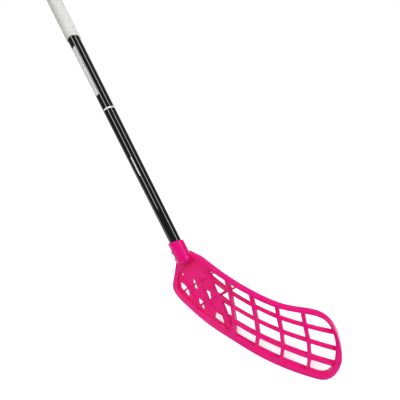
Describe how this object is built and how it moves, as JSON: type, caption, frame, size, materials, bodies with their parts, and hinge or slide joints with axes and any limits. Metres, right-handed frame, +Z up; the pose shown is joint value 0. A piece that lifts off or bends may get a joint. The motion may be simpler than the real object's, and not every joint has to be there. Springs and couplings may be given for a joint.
{
  "type": "floorball stick",
  "caption": "Right-handed floorball stick: open lattice blade with a hooked toe, screwed onto a slim round shaft with a wound grip and a plugged butt end.",
  "frame": {"origin": "on the flat sole of the blade, at the point where the hook of the toe begins", "axes": "+Z up from the floor the sole rests on, +X along the blade to its toe, +Y to the hollow side of the hooked blade"},
  "size_m": [0.6659, 0.0563, 0.5325],
  "materials": {
    "blade_plastic": "semi-gloss",
    "screw_steel": "zinc plated",
    "shaft_lacquer": "gloss",
    "band_vinyl": "satin",
    "finish_tape": "satin",
    "grip_wrap": "matt",
    "cap_rubber": "matt"
  },
  "bodies": {
    "root": {"blade": "blade_plastic", "blade_screws": "screw_steel", "shaft_tube": "shaft_lacquer", "shaft_ring": "band_vinyl", "finishing_band": "finish_tape", "grip_tape": "grip_wrap", "end_cap": "cap_rubber"}
  },
  "joints": []
}
